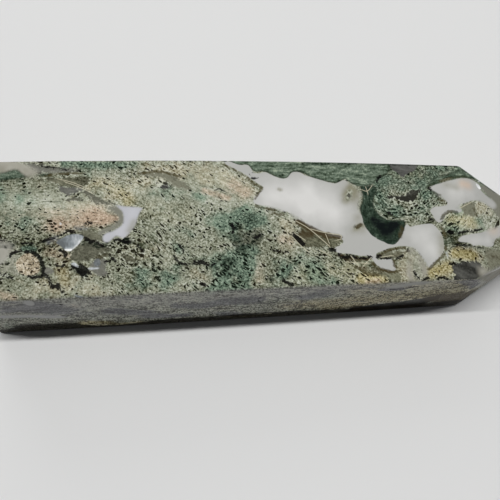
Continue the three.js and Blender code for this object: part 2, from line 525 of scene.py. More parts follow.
light = field("light", stain([
    (0.2, 1.4, [-42, 4.5, -29.5, 4]), (0.12, 1.6, [-48, 5, -42, 5.5], [33.5, -6.5, 38, -7.5]),
    (-0.12, 2, [-51, 10, -41, 9], [-10, -8, -7, -10], [24, 11, 30, 10]),
    (-0.12, 1.6, [-51, 2.5, -50.5, -5], [-39, -3, -38.5, -6]),
    (-0.2, 1.4, [-51, -2, -47.5, -2.5], [-25.5, 1.5, -26.5, 0]),
    (-0.3, 1.4, [-45.5, -3, -42, -3.5], [41.5, -6.5]),
    (-0.1, 1.4, [-43.5, -1, -41, -1], [-47, -1.5, -42, -2.5]), (-0.15, 1.4, [-37, -1, -33.5, -1]),
    (-0.1, 2, [-47, -11, -50, -11]), (-0.15, 1.8, [-43, -6, -42, -9]), (-0.15, 2.5, [-38, -9, -33, -8]),
    (0.08, 1.6, [-37, -11.5, -33.5, -11.5]),
    (-0.15, 2, [-29, -10, -25, -12], [-2, -11, 2, -11], [17, -8, 22, -8]),
    (0.12, 2.5, [-31, 9, -22, 6], [-21, 9, -13, 6]), (-0.08, 2, [-16, -2, -16, -7]),
    (-0.05, 2, [-18, -9, -13, -9]), (-0.12, 1.2, [-16.5, 4.5, -15.5, 3.5]), (0.15, 1.4, [-13, 5, -8, 4]),
    (0.1, 2, [-14, 1, -10, 1], [38, 2, 42, 2]), (-0.2, 1.6, [-4.5, 1], [34.5, -6, 39, -6.5]),
    (0.15, 2, [-8, 9, -5, 6]), (0.15, 1.6, [-4.5, 4, 1.5, 1.5], [27, 2.5, 28.5, 1.5]),
    (0.08, 3, [-20, 12, -10, 10], [4, -9, 13, -9]), (-0.12, 3, [-4, -3, 0, -7]),
    (-0.12, 1.4, [24.5, 1, 30, -0.5]), (0.12, 2, [33, 1, 37, 0]), (0.1, 2.5, [-50, 6, -42, 6]),
    (0.12, 1.4, [-3.5, -8.5, -3.5, -10], [16.5, -11.5, 20, -11.5]), (0.1, 1.8, [34, -1, 41, 0]),
    (-0.1, 1.6, [8, -6.5, 14, -8.5]), (-0.4, 1.4, [33.5, -2.5, 35, -4]),
]))
# Painted light and shade on the near long face: its upper part and the near face of the point are made
# lighter, and its lower middle darker, as the light falls on them.
side_light = field("side_light", stain([], [
    (0.5, 5, [-54, 20, 30, 20]), (-0.25, 5, [-54, 6, 1, 6]), (0.9, 5, [42, 16, 50, 14]),
]))
streaky = field("streaky", stain([
    (0.9, 3, [-52, 6, -40, 7]), (1, 2.5, [-24, 10, -8, 7]), (0.8, 2, [10, -7, 20, -10]),
    (0.5, 3, [22, 2, 28, 2]), (0.7, 1.8, [34, 10, 40, 9]), (0.6, 2, [-30, 9, -27, 11]),
    (0.5, 1.4, [-26, -2, -20, -4.5]),
], [
    (1, 9, [-54, 12, 50, 10]),
]))

# The near long face shows the growth side on: level layers, with violet-grey quartz between them.
near_side = field("near_side", np.clip((-places[:, 1] - half_width(places[:, 0]) + 0.2) / 0.8, 0, 1))
past_far = places[:, 1] - half_width(places[:, 0])
past_foot = -places[:, 1] - half_width(places[:, 0]) - top_height(places[:, 0])
beyond = np.maximum(np.maximum(past_far, past_foot), BASE_X + 0.17 - places[:, 0])
unseen = field("unseen", np.clip(beyond / 1.5, 0, 1))
layers = (cloud(curled(stretched(place, (0.15, 1.0, 1.0)), 1.5, 0.8), 0.9, 3.0) - 0.5) * near_side
level = (cloud(curled(stretched(place, (0.2, 1.0, 1.0)), 1.2, 0.5), 0.3, 2.0) - 0.5) * 0.8
violet = field("violet", stain([
    (0.5, 1, [37.5, -13, 41, -11]), (0.7, 0.9, [-42, -2.6, -40.6, -2]), (0.6, 0.9, [-37, 0, -35, -0.4]),
], [
    (1, 3, [-50, 19, -45, 18]), (0.9, 3, [-44, 21, -41, 17]), (0.8, 2.5, [-31, 13, -26, 9]),
    (0.9, 1.8, [-23, 7, -18, 6]), (0.5, 2, [-19, 14, -14, 13]), (1.2, 3, [-9, 15, -5, 15]),
    (0.9, 1.6, [-10.5, 5, -8, 5], [36, 18.5, 39, 15]), (0.4, 2.5, [5, 15, 9, 17]),
    (0.9, 1.4, [21, 16.5, 23.5, 16]), (-0.6, 3, [20, 12, 32, 11]),
])) + (cloud(stretched(place, (0.24, 1.0, 1.0)), 2.6, 1.0) - 0.45) * near_side * 1.5

hue = green + cloud(place, 2.4, 3.0) * 1.9 - 0.97
hue = hue + (cloud(curled(place, 6.0, 3.0), 9.0, 3.0) - 0.5) * unseen * 4.0
curly = curled(place, 1.3, 0.9)
combed = curled(stretched(grain, (0.62, 1.1, 1.0)), 1.1, 0.6)
clumps = cloud(curly, 2.2, 2.0) - 0.5
lace = cloud(curly, 0.55, 2.0)
threads = cloud(combed, 0.50, 2.0)
growth = lace + (threads - lace) * between(streaky, 0.2, 0.8) - 0.5
growth = growth + (level - growth) * near_side
grit = cloud(place, 0.34, 1.0) - 0.5
fibres = between(abs(cloud(curly, 0.95, 1.0) - 0.5), 0.045, 0.0)
strand_places = curled(stretched(grain, (0.6, 1.1, 1.0)), 1.6, 1.2)
strands = between(abs(cloud(strand_places, 0.8, 2.0) - 0.5), 0.08, 0.0)


def sponge(where, size):
    """Small chambers in the moss: how far a place is from the walls, and how open its chamber is."""
    feature = {"feature": "DISTANCE_TO_EDGE"}
    wall = Wire.node("ShaderNodeTexVoronoi", feature, {"Vector": where, "Scale": 1 / size})
    return wall, Wire.node("ShaderNodeTexVoronoi", {}, {"Vector": where, "Scale": 1 / size}, "Color")


wall, chamber = sponge(curly, 0.86)
combed_wall, combed_chamber = sponge(combed, 0.62)
is_combed = between(streaky + clumps * 0.8, 0.45, 0.65)
walls = wall + (combed_wall - wall) * is_combed
openness = chamber + (combed_chamber - chamber) * is_combed + clumps * 0.85
openness = openness + gaps * 0.3 - calm * 0.26 - near_side * 0.3 + 0.06
into_hole = walls + openness * 0.44 - 0.38
hole = between(into_hole, -0.03, 0.05)
brim = between(into_hole, -0.15, -0.04)
height = growth * (1.4 - 0.5 * calm) + grit * (1.9 - 0.9 * calm) + fibres * (0.26 - 0.12 * calm)
height = height + clumps * 0.4 + brim * 0.12 - hole * 0.6 + curls * (strands * 0.54 - 0.27)
# The near long face's painted light lifts its moss here.
height = height + near_side * (growth * 2.2 + grit * 2.4 + side_light * 0.28 - 0.06)
height = height + light + layers * 1.3 + unseen * (clumps * 0.9 - 0.16) + 0.52
CREAM = (70, 60, 42), (112, 105, 83), (150, 146, 125), (174, 172, 152), (196, 194, 178)
SAGE = (48, 50, 36), (90, 92, 75), (131, 134, 116), (159, 162, 145), (187, 189, 175)
GREEN = (33, 43, 36), (64, 77, 66), (94, 109, 95), (121, 138, 119), (152, 166, 149)
PEACH = (84, 68, 52), (126, 108, 90), (160, 141, 121), (185, 166, 145), (203, 188, 169)
OCHRE = (62, 54, 30), (106, 97, 62), (145, 136, 98), (172, 164, 128), (196, 189, 157)
moss = lay(ramp(height, *SAGE), ramp(height, *CREAM), between(hue, -0.05, -0.75))
moss = lay(moss, ramp(height, *GREEN), between(hue, 0.1, 0.95))
moss = lay(moss, ramp(height, *OCHRE), between(ochre + hue * -0.1, 0.15, 0.75))
moss = lay(moss, ramp(height, *PEACH), between(peach + growth * 0.5, 0.12, 0.75))
pit_colour = lay(tone(34, 32, 22), tone(22, 31, 24), between(hue, -0.2, 0.6))
moss = lay(moss, pit_colour, hole * 0.86)
dashes = cloud(curled(stretched(grain, (0.2, 1.5, 1.0)), 1.2, 0.5), 0.55, 1.0)
moss = lay(moss, tone(76, 82, 64), between(dashes, 0.6, 0.7) * between(streaky, 0.3, 0.8) * 0.6)
bloom = ramp(growth * 2.0 + grit * 1.5 + layers + 0.5, (112, 111, 106), (168, 167, 162), (206, 205, 192))
# The pale cover on the near long face rises with its painted light.
pale = 0.22 + between(side_light, 0.0, 0.8) * 0.62 - between(ochre, 0.1, 0.5) * 0.15
moss = lay(moss, bloom, pale * near_side)
violet_height = layers * 1.4 + growth + grit * 0.9 + 0.5
violet_quartz = ramp(violet_height, (70, 70, 73), (103, 104, 108), (146, 147, 150))
violet_cover = between(violet + near_side * 0.12 + layers * 1.0 - growth * 0.9, 0.25, 0.85)
moss = lay(moss, violet_quartz, violet_cover * 0.8)

# Windows: patches of clear quartz with little grown in them, so they look smooth and dark. Each has a
# softness of its edge, how olive it is rather than grey, how dark it is, and its outline.
window, window_soft, window_olive, window_dark = patches("window", ("soft", "olive", "dark"), [
    (0.2, 0.9, 0.55, [-44.2, 9.7, -42, 10.1, -39.5, 9.9, -37, 10.3, -35, 9.9, -34.6, 9, -36.3, 8.4,
     -38.8, 8.2, -42.6, 9.4]),
    (0.2, 0.2, 0.35, [-40.4, 8.3, -38.4, 8.1, -36, 7.9, -35.3, 7.5, -37, 7, -38.6, 6.4, -39.7, 7.1]),
    (0.12, 0.6, 0.5, [-39.4, 5.7, -38, 6, -36, 5.9, -36.2, 5.4, -38.4, 5.3]),
    (0.25, 0.6, 0.4, [-35.6, 7.3, -34.4, 7, -33.4, 6.2, -30.6, 4.9, -29.4, 4.5, -31.6, 4.5, -33.6, 4.9]),
    (0.3, 0.75, 0.05, [-25, 10.3, -23, 10.8, -20.8, 10.7, -18.6, 10.1, -16.2, 8.2, -15.7, 7.3, -17, 7.2,
     -18.5, 7.8, -21, 9.6]),
    (0.25, 0, 0.85, [-21.4, 7.8, -20.4, 8.5, -19.4, 7.8, -20, 7.3]),
    (0.25, 0.75, 0.55, [-37.7, -4.5, -36.2, -3.2, -34, -3, -31.6, -3.6, -30.6, -4.5, -32.6, -5.4,
     -34.4, -6.5, -36.4, -6.7, -37.9, -5.8]),
    (0.3, 0.3, 0.25, [-34.4, -7.9, -33.6, -6.6, -32, -6.3, -31.2, -6.8, -31.5, -7.8, -31.2, -9,
     -32.2, -9.6, -33.6, -8.9]),
    (0.15, 0.35, 0.05, [-42.9, -7.9, -41.6, -7.7, -40.9, -8.3, -41.6, -8.9, -42.7, -8.7]),
    (0.2, 0.9, 0.75, [-33.8, -6.3, -32.6, -5.3, -30.6, -5.2, -29.6, -5.6, -31.4, -5.9, -33, -6.4]),
    (0.25, 0.9, 0.8, [-28.6, -5.4, -27.2, -5.5, -26, -6.6, -26.6, -7.1, -27.8, -6.6]),
    (0.3, 0.75, 0.4, [-32.8, -0.7, -31, -0.4, -29.9, 0.3, -30.6, 0.6]),
    (0.1, 0, 0.62, [22.9, 12.2, 22.7, 11.2, 24.6, 9.9, 24.9, 9, 25.7, 9.2, 26.6, 9.9, 27.9, 10.7,
     28.3, 12.2, 27.6, 15, 25.4, 20, 23.4, 17]),
    (0.1, 0.3, 1, [21.7, 5.8, 22.6, 5.2, 25.3, 5.3, 26.3, 6.1, 27.4, 6.5, 28.5, 6.3, 27.2, 4.4, 26, 4,
     23.4, 4.7, 22.2, 4.8]),
    (0.08, 0.1, 0.82, [33.1, -8.8, 34.6, -8.4, 36.8, -8.1, 38.6, -8.2, 39.4, -9.4, 38.8, -10.8,
     37.2, -11.8, 35, -11.8, 33.2, -11.7, 33.5, -10.6]),
    (0.2, 1, 0.6, [4.3, 0.4, 5.5, 0.2, 6.6, -0.8, 8.2, -1.8, 10.5, -2.4, 12.7, -2.9, 13, -3.5, 11.8, -4.6,
     11.2, -5.2, 9.6, -4.6, 8, -4.8, 5.4, -4.7, 4.3, -3.9, 3.5, -2.6, 4.6, -2, 5, -1.4]),
    (0.5, 0.8, 0.1, [40.4, -5.3, 42.6, -5, 45, -5.6, 49, -3.4, 47, -7, 43.5, -8.4, 41, -9.2, 40.2, -7.8]),
    (0.5, 1, 0.25, [15.8, -9, 18, -9.6, 20.4, -9.9, 22.8, -9.9, 23.4, -11.4, 22, -12.4, 20.8, -11,
     18.4, -10.3]),
    (0.3, 0.9, 0.35, [19.4, -6.6, 20.6, -6, 22.4, -5.8, 24, -6.2, 23.6, -7.2, 20.4, -7.2]),
    (0.5, 0.3, 0.3, [-46.8, 13.4, -44.4, 12.8, -41, 12.2, -38, 12, -37, 11.4, -40, 11.1, -43.6, 11.2,
     -45.6, 12]),
    (0.4, 0.4, -0.35, [41.6, 8, 44, 7.4, 47, 5.6, 50, 3, 46, 3.4, 43.6, 5, 41, 7]),
    (0.5, 0.5, -0.45, [41.6, 5.6, 43, 5.6, 46.5, 4.4, 47.5, 2, 44.4, 1.4, 43.4, 3, 42, 4.4]),
    (0.3, 0.8, 0, [36.2, 3, 38.4, 4, 39.4, 3.8, 38.9, 2.6, 38.9, 1.2, 36.8, 1.4, 36.4, 2.2]),
    (0.5, 0.45, -0.6, [-31.2, 3.9, -28.8, 4, -28, 1.6, -28.8, 0.2, -32.2, -1.4, -32.8, -1, -31.8, -0.1,
     -30.4, 0.3, -29.4, 1, -29.3, 2.2]),
    (0.4, 0.8, 0.35, [-36.2, -0.9, -34.8, -0.4, -32.4, -1.5, -32, -2.6, -33.6, -2.8, -35.1, -2.2]),
    (0.5, 0.5, 0.5, [-44, 22, -40, 21, -37, 22, -33, 21, -31, 25, -35, 26, -37, 29, -42, 27, -46, 27]),
    (0.5, 0.7, 0.5, [2, 27, 6, 28, 9, 25, 13, 26, 17, 30, 13, 31, 9, 34, 5, 32, 0, 32]),
    (0.6, 0.2, 0.6, [-30, -42, -24, -44, -18, -42, -13, -46, -16, -50, -22, -48, -28, -50, -33, -46]),
    (0.4, 0.6, 0.6, [-59, 4, -62, 6, -63, 10, -67, 9, -69, 5, -73, 4, -72, 0, -67, 1, -65, -2]),
], [
    (0.3, 0.1, 0.95, [13, 0.2, 15.4, 3, 17.3, 5, 21, 6, 25.2, 6.8, 29, 8.2, 32.8, 10, 33, 8, 31, 4,
     30, 0.6, 24, 0.2]),
])
wobble = (cloud(place, 0.9, 3.0) - 0.5) * 0.9
depths = cloud(curled(stretched(grain, (0.3, 1.0, 1.0)), 2.0, 0.8), 1.6, 3.0) - 0.5
specks = (growth * 1.5 + grit * 1.0 + fibres * 0.25) * (window_olive * 0.8 + 0.25)
clear_dark = window_dark + depths * 1.2 - specks
grey_quartz = lay(tone(120, 120, 116), tone(50, 50, 48), clear_dark)
olive_quartz = lay(tone(124, 124, 104), tone(52, 52, 40), clear_dark)
quartz = lay(grey_quartz, olive_quartz, window_olive)
window_edge = window + wobble * 0.8 + growth * 1.3 + grit * 0.6
agate_colour = lay(moss, quartz, covered(window_edge, window_soft))

# Ferns: thick dark green growths. The strip along the far edge is mid green, and the tongue that comes
# down from it is nearly black in its middle, with streaks along it.
fern, fern_soft, fern_dark = patches("fern", ("soft", "dark"), [
    (0.14, 0.2, [-7.6, 12.7, -6.3, 12.05, -4.7, 12.1, -3.3, 10.7, -2, 10.7, -1, 10.5, 0.6, 9.6, 2.2, 9.1,
     3.2, 9.5, 4, 10.4, 5.6, 10.3, 8, 9.2, 10, 8.5, 12.2, 8, 13.6, 8.7, 14.2, 8.8, 15.5, 7.8, 17, 7.2,
     19, 7.6, 20.6, 8.9, 21.8, 9.4, 23, 10.6, 22.8, 12, 19, 16.4, 12, 17.6, 4, 16.8, -4, 17.4, -8, 15]),
    (0.18, 0.85, [16.9, 7.3, 18, 7.4, 19.8, 7.3, 20, 6.2, 19.4, 5, 19.2, 3.6, 19.6, 2.3, 21.5, 0.5,
     24.6, 0.3, 25, -0.6, 24.7, -1.9, 22.9, -4.5, 21.6, -4.9, 20, -4.4, 18.3, -3.3, 17.2, -2.1,
     16.8, -0.3, 16.5, 2.6, 17, 4, 17.2, 5.6]),
    (0.25, 0.35, [30.2, 7.2, 32, 8.2, 35, 8.8, 40, 8.8, 44, 6.9, 45, 7.6, 41, 10.6, 37, 10.6, 34, 9.6,
     31, 8.6]),
    (0.35, 0.45, [-54, 11.6, -51, 11.6, -48.4, 12.1, -47.4, 11.4, -46.2, 10.4, -47.4, 10.1, -49.6, 9.9,
     -54, 9.6]),
    (0.3, 0.5, [-44.6, 10.7, -43, 11, -41.6, 10.7, -42.6, 10.4]),
    (0.3, 0.5, [-30, 14, -24, 17.4, -18, 16.6, -12, 21, -5, 23.4, -3, 28, -9, 27, -14, 30, -18, 25,
     -24, 24, -28, 20]),
])
sprays = cloud(curled(stretched(place, (0.45, 1.3, 1.0)), 1.6, 1.2), 0.75, 3.0) - 0.5
fern_height = sprays * 2.0 + growth * 0.5 + grit * 0.9 + fibres * 0.12 + 0.52
fern_height = fern_height - between(fern, -0.7, 0.1) * 0.25
strip_colour = ramp(fern_height, (42, 50, 41), (76, 88, 74), (107, 120, 105), (150, 161, 141))
ripples = cloud(curled(stretched(grain, (1.0, 0.4, 1.0)), 1.4, 0.7), 0.6, 3.0) - 0.5
tongue_height = 0.46 + ripples * 1.8 + grit * 0.9
tongue_colour = ramp(tongue_height, (32, 40, 33), (44, 54, 46), (64, 77, 66), (106, 118, 103))
fern_core = field("fern_core", stain([
    (0.8, 1.2, [19, 0.5, 20, -1, 22, -1.5, 23, -1]),
    (0.5, 0.9, [20.6, -2.6, 22.2, -3.2], [17.6, 6.6, 19.2, 6.6]), (0.4, 0.8, [20.6, -0.2, 24, -0.4]),
    (-0.5, 0.5, [18.8, 6.4, 19, 3.4]),
]))
core_cover = between(fern_core + ripples * 1.0 + sprays * 0.6, 0.35, 0.95)
tongue_colour = lay(tongue_colour, tone(30, 33, 33), core_cover)
fern_colour = lay(strip_colour, tongue_colour, between(fern_dark, 0.2, 0.85))
fern_colour = lay(fern_colour, tone(50, 55, 46), between(fern + wobble * 0.35, -0.42, -0.04) * 0.6)
agate_colour = lay(agate_colour, fern_colour, covered(fern + wobble * 0.35, fern_soft))

# Milk: white chalcedony that filled what was left, nearly plain, cut through by the top face. Each
# patch has a softness of its edge, how lilac or beige it is (below 0 beige), and its outline.
milk, milk_soft, milk_lilac = patches("milk", ("soft", "lilac"), [
    (0.09, 0.1, [-8.9, 12.8, -8, 12.9, -6.3, 12.1, -4.7, 12.1, -4, 11.5, -3.5, 10.5, -2.4, 10.2,
     -1.3, 10.5, 0.8, 9.5, 2.2, 9.1, 3.1, 9.4, 4, 10.4, 5.5, 10.3, 7, 9.5, 11.5, 8.1, 12.8, 8.2,
     13.8, 8.7, 14.6, 8.2, 16.6, 6.4, 16.9, 5.4, 16.3, 3.6, 16.3, 2.4, 16.8, 1.2, 17.1, -0.5, 18.6, -2.8,
     21.4, -4.4, 22.6, -4.5, 23.5, -3.7, 24.3, -2.5, 24.9, -1, 25.3, -0.5, 26, -1.1, 27, -0.8, 29.3, -0.5,
     30.5, -0.8, 31.9, -3, 31.8, -6, 30, -8.2, 28.9, -9.3, 27.8, -7.6, 26.6, -5.8, 25.6, -5.1, 23, -4.9,
     19.5, -6, 18.9, -6.6, 19.2, -7.5, 20.5, -7.4, 21.9, -7.5, 22.4, -9.5, 21.5, -9.7, 20, -9.3,
     18.9, -8.5, 17.6, -6.8, 16, -6.7, 14, -6.2, 12, -6, 11.3, -5.6, 11.2, -5, 12.5, -4.4, 12.9, -3.6,
     12.2, -3, 11, -2.6, 9.5, -2.4, 6.8, -1.2, 6.2, -0.4, 4.5, 0.8, 2.8, 2.3, 1.5, 2.6, -0.7, 3.4,
     -3.2, 4, -3.7, 4.7, -3.3, 5.6, -1.7, 7.3, -3, 8.4, -5.5, 10.4, -8.6, 12.2]),
    (0.13, 0, [30.3, 7, 32, 7.6, 36, 8.6, 38, 8.9, 39.6, 8.6, 40.4, 7.8, 41.2, 6.5, 43.6, 4.9, 43.9, 4,
     43, 3.4, 41.5, 4.2, 39.8, 4.6, 38.4, 4.3, 36.2, 3.3, 35.8, 2.6, 36.2, 2, 35.4, 1.6, 34, 1.8,
     33.2, 1.4, 31.9, -0.2, 31.1, -0.1, 30.5, 1, 30.1, 2.2, 30.8, 2.8, 32.4, 3, 33.5, 3.4, 33.2, 4.2,
     30.9, 6.2]),
    (0.12, 0.1, [34.9, -4.1, 35.5, -3.2, 36.8, -2.8, 39.8, -2, 41.4, -1.2, 43, -0.6, 46, 0.6, 46.4, -1.2,
     43, -2.8, 41.8, -4.6, 38.8, -4.6, 37.8, -5, 37.2, -4.5]),
    (0.6, -1, [25.4, -5.4, 27, -6.4, 28.2, -8.4, 28.4, -10, 27.4, -11.6, 25.4, -12.4, 24.4, -10.4,
     25, -7.6]),
    (0.28, 0.8, [-29.6, 4.3, -28, 4, -25.4, 3.8, -24.7, 3.5, -25.3, 2.6, -26.2, 0, -27.8, -2, -28.6, -2.1,
     -29.6, -1.8, -31.2, -3.1, -31.9, -2.6, -32, -1.8, -31.4, -1.2, -30.2, -0.8, -29, -0.1, -28.2, 0.9,
     -28.3, 2.9]),
    (0.8, -0.6, [-54, -1.6, -51.4, -2, -49.4, -2.6, -48.3, -3.4, -48.9, -4.3, -50, -6.4, -54, -7]),
    (0.45, -1, [-54, 14.6, -54, 11.3, -51, 11.4, -48.4, 12, -46.4, 10.5, -45, 10.6, -44.6, 11.6,
     -48, 13.4]),
    (0.12, 0.2, [-12, 13.4, -8.8, 13.2, -4, 15.6, -3, 18, 2, 18.6, 5, 22, 0, 22.4, -4, 20.6, -8, 22.4,
     -10, 18.6, -14, 17]),
    (0.15, 0.3, [22, 20, 31, 17, 36, 18, 38, 21, 29, 25, 25, 27]),
    (0.15, 0.3, [-52, 31, -47, 30, -43, 33, -38, 32, -34, 36, -40, 37, -43, 41, -47, 37, -52, 37]),
    (0.15, 0.2, [-6, -44, 0, -42, 4, -44, 9, -41, 15, -45, 10, -47, 6, -51, 0, -48, -6, -49]),
    (0.15, 0.1, [31, -40, 36, -39, 39, -43, 35, -44, 33, -47, 29, -44]),
    (0.15, 0.3, [-55, -12, -58, -7, -62, -6, -63, -2, -66, -3, -68, -7, -73, -8, -69, -12, -64, -10]),
], [
    (0.9, -0.8, [38.4, 23, 45, 20.6, 56, 15, 56, 7, 47, 11, 41, 16]),
    (0.6, -0.3, [20.6, 18.4, 22.2, 19.6, 24.4, 20.2, 26.6, 21.2, 28.8, 20.4, 28.2, 19, 26, 18.8,
     23.6, 17.6, 21.4, 17.2]),
    (0.25, 0.3, [-46.6, 24, -45, 24, -45.2, 21, -46.4, 21.2]),
    (0.7, 0.4, [-55, 15.2, -50, 14.4, -46, 13.6, -41.8, 12, -41.4, 10.2, -44.6, 10.6, -48, 12, -55, 13]),
])
blur = field("blur", stain([
    (0.7, 1, [4, 1.5, 5.5, 0.5]), (0.5, 0.9, [7.5, -1.4, 10, -2.4]),
    (0.4, 0.8, [-1, 3.4, 1.4, 2.8], [26.4, -5.6, 28.4, -8.6]),
    (0.5, 1, [15.5, 7.5, 17, 5.5, 16, 3], [41, 5, 43.5, 4]), (0.5, 1.2, [42, -1, 44, -1]),
    (0.5, 0.8, [30.8, 5.6, 32.4, 5]), (0.7, 1.2, [-45, 10.5, -44.5, 12]),
]))
glow = field("glow", stain([
    (0.9, 3, [0, 6, 8, 4, 11, 2]), (0.4, 2, [7, 7, 6, 1]), (0.5, 2, [28, -3, 30, -6]),
    (0.4, 1.4, [35, 6, 38.5, 5.5]), (0.5, 1, [38, -4, 41, -3.5]), (-0.9, 1.8, [16, -2, 19, -4, 22, -6]),
    (0.9, 1, [-26.5, 3, -27, 0.5, -29, -1]), (0.5, 0.8, [-31, -1.8, -32, -2.2]),
    (0.5, 1.4, [-46.5, 13, -44.5, 12]), (0.5, 2.5, [-10, 17], [30, 21]),
]))
ghost = field("ghost", stain([
    (0.8, 0.8, [13.8, 4.5, 13.9, 5.8, 15, 7]), (0.5, 0.9, [15.2, 4.6, 16, 6.4], [31.8, -3.4, 31.4, -6.6]),
    (0.9, 0.5, [15.6, -1.1, 16.3, -0.6, 16.9, -0.6]), (0.4, 0.8, [15, -1.6, 16.6, -1.6]),
    (0.9, 0.3, [1.2, 7, 1.6, 6.8]), (0.4, 0.7, [33.6, 7.4, 35.6, 6.8]), (0.5, 0.8, [-26.2, 0.8, -27, -0.8]),
    (0.5, 1.4, [15.5, 7.5, 17, 4]), (0.4, 1, [16, 1]),
]))
shine = cloud(place, 3.2, 2.0) - 0.5
white = lay(tone(170, 170, 166), tone(205, 204, 201), glow + shine * 0.7)
white = lay(white, tone(178, 179, 186), between(milk_lilac, 0.1, 0.9) * 0.8)
beige = lay(tone(134, 131, 118), tone(170, 168, 158), glow + shine * 1.4 + 0.4)
white = lay(white, beige, between(milk_lilac, -0.1, -0.8))
white = lay(white, tone(132, 130, 112), ghost + wobble * ghost)
worn = field("worn", stain([
    (1, 0.8, [14.4, 4.9, 14.8, 6.2]), (0.9, 0.6, [15.4, -0.9, 16.4, -0.8]), (0.5, 0.7, [4.4, 1.2, 6, 0.2]),
    (0.5, 0.6, [31.4, 3.2, 33, 3.4]), (0.6, 0.7, [35.4, 2.6, 36.4, 3.4]), (0.9, 1.6, [26, -7, 26.5, -11]),
]))
milk_cover = covered(milk + wobble * 0.28, milk_soft + blur)
milk_cover = milk_cover - milk_cover * between(worn + growth * 0.6, 0.3, 0.95) * 0.75
peach_spot = field("peach_spot", stain([(0.6, 0.9, [37, 7.6, 38, 7.5]), (0.4, 1.2, [42.5, -1])]))
white = lay(white, tone(204, 180, 158), peach_spot)
agate_colour = lay(agate_colour, white, milk_cover)

# Nodules: rounded lumps that grew before the rest. Each has a softness of its edge, and is either a
# grainy cream kernel or part of the smooth shell around one.
nodule, nodule_soft, nodule_cream = patches("nodule", ("soft", "cream"), [
    (0.12, 0.95, [-46.2, -4.8, -45, -4.9, -44, -5.8, -43.5, -7, -43.6, -8.4, -44.6, -9, -46, -9,
     -47, -8.5, -47.7, -7.5, -47.7, -6.2]),
    (0.15, 0.1, [-48.8, -5.4, -47.7, -5, -47.3, -5.1, -48, -6.2, -48, -7.6, -47.2, -8.8, -47.8, -9,
     -48.9, -8.3, -49.1, -6.8]),
    (0.12, 0, [-50.6, -6.8, -49.8, -6.6, -49.2, -7.2, -49.3, -8.2, -50.2, -8.5, -50.9, -7.8]),
])
shell_colour = ramp(height, (88, 90, 76), (132, 133, 118), (162, 162, 148))
kernel_colour = ramp(height + growth * 0.6, (84, 72, 54), (160, 149, 127), (206, 197, 178))
nodule_colour = lay(shell_colour, kernel_colour, between(nodule_cream, 0.3, 0.7))
nodule_colour = lay(nodule_colour, pit_colour, hole * 0.8)
agate_colour = lay(agate_colour, nodule_colour, covered(nodule + wobble * 0.3, nodule_soft))

# Rims: thin olive-brown lines where the milk met the moss, and soft brown shade in the clefts.
rims = veins("rims", [
    (0.16, [-8.9, 12.3, -8.2, 11.6, -6.8, 10.9, -4.2, 9.1], [-2, 6.9, -2.8, 6, -3.4, 5], [31.9, 0.4,
     32.7, 1.4, 33.6, 2, 35.2, 1.8]),
    (0.24, [-4.4, 8.9, -2, 7.2], [-3.2, 3.7, -2.2, 3.2], [-1.4, 3.2, 0.6, 2.6], [-0.4, 2.1, 0.6, 2.1,
     1.8, 1.7], [19.4, -6.9, 21.4, -5.6, 24.8, -5.2], [18, -8, 19.4, -9.2, 21, -9.8, 22.6, -9.9],
     [28.6, -9.6, 32, -6.6], [30.2, 7.1, 32, 7.9, 36, 9, 38, 9.2], [31.9, -1.2, 32.4, -3, 32.3, -5.6],
     [-25.2, 10.6, -23, 11, -20.8, 10.9, -18.6, 10.3, -17.4, 9.6]),
    (0.32, [4.4, 0.2, 5.6, -0.4, 6.6, -1.2, 8, -1.9, 9.6, -2.3], [15.2, -9, 17, -10.1, 19, -10.4]),
    (0.2, [9.7, -2.4, 9.7, -3.4, 10.1, -4.6], [22, -7.4, 22.6, -9.8], [30.2, 6.6, 31, 5.9, 32.2, 5.3],
     [31.6, 4.3, 32.6, 4.2, 33.2, 3.6], [32.2, 0.6, 33, 1.5, 34.2, 1.8, 35.4, 1.6], [38.8, 2.8, 39.4, 1.2],
     [-43, 10.5, -40, 10.9, -36, 10.9]),
])
rim_colour = lay(tone(74, 68, 48), tone(52, 62, 48), between(hue, 0.0, 0.8))
agate_colour = lay(agate_colour, rim_colour, between(rims + wobble * 0.5 + growth * 0.7, 0.18, -0.12) * 0.8)

